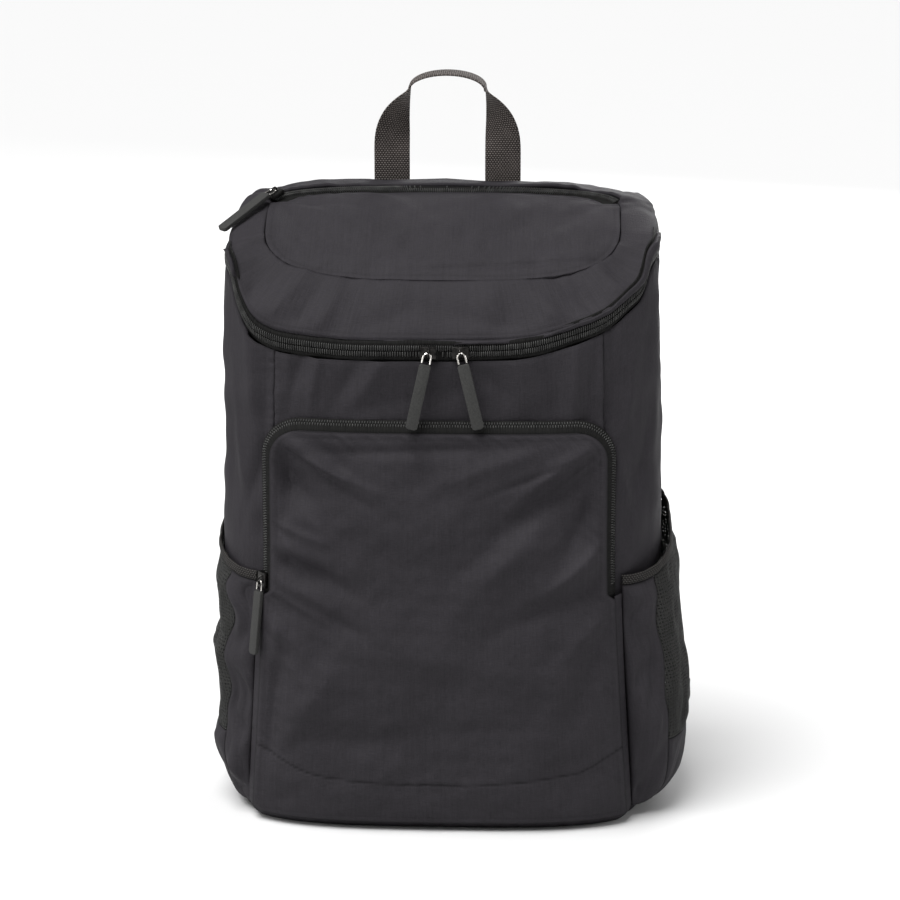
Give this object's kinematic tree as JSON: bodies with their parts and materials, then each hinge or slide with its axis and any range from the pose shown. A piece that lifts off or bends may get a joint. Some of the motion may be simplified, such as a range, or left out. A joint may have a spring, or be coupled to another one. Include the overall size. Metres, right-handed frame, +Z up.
{
  "type": "cooler backpack",
  "caption": "Soft cooler backpack: a padded main compartment under a sloping zipped lid, a zipped front pocket, mesh side pockets, a carry loop and padded shoulder straps",
  "frame": {"origin": "on the floor, at the middle of the bag's bounding box seen from above", "axes": "+Z up, the front pocket faces -Y, +X to the right as seen from the front"},
  "size_m": [0.3296, 0.2164, 0.5028],
  "materials": {
    "polyester": "fine matt weave",
    "pad_mesh": "matt spacer mesh",
    "zip_tape": "matt tape",
    "zip_coil": "satin coil",
    "webbing": "ribbed weave",
    "net": "open net",
    "slider_metal": "satin",
    "wire": "polished",
    "pull_rubber": "matt",
    "buckle_plastic": "satin"
  },
  "bodies": {
    "root": {"front_panel": "polyester", "side_panel_right": "polyester", "side_panel_left": "polyester", "base_panel": "polyester", "lid_band": "polyester", "lid_pocket_panel": "polyester", "front_pocket_gusset": "polyester", "front_pocket_panel": "polyester", "side_pocket_front_left": "polyester", "side_pocket_foot_left": "polyester", "side_pocket_front_right": "polyester", "side_pocket_foot_right": "polyester", "back_panel": "pad_mesh", "shoulder_strap_left": "pad_mesh", "shoulder_strap_right": "pad_mesh", "main_zip_tape_lower": "zip_tape", "main_zip_tape_upper": "zip_tape", "lid_zip_tape_lower": "zip_tape", "lid_zip_tape_upper": "zip_tape", "front_zip_tape": "zip_tape", "main_zip_teeth": "zip_coil", "lid_zip_teeth": "zip_coil", "front_zip_teeth": "zip_coil", "side_pocket_binding_left": "webbing", "side_pocket_binding_right": "webbing", "carry_loop": "webbing", "strap_yoke": "webbing", "strap_webbing_left": "webbing", "strap_tab_left": "webbing", "strap_webbing_right": "webbing", "strap_tab_right": "webbing", "side_pocket_mesh_left": "net", "side_pocket_mesh_right": "net", "slider_main_left": "slider_metal", "slider_main_right": "slider_metal", "slider_front": "slider_metal", "slider_lid": "slider_metal", "pull_wire_main_left": "wire", "pull_wire_main_right": "wire", "pull_wire_front": "wire", "pull_wire_lid": "wire", "pull_tab_main_left": "pull_rubber", "pull_tab_main_right": "pull_rubber", "pull_tab_front": "pull_rubber", "pull_tab_lid": "pull_rubber", "strap_buckle_left": "buckle_plastic", "strap_buckle_right": "buckle_plastic"}
  },
  "joints": []
}
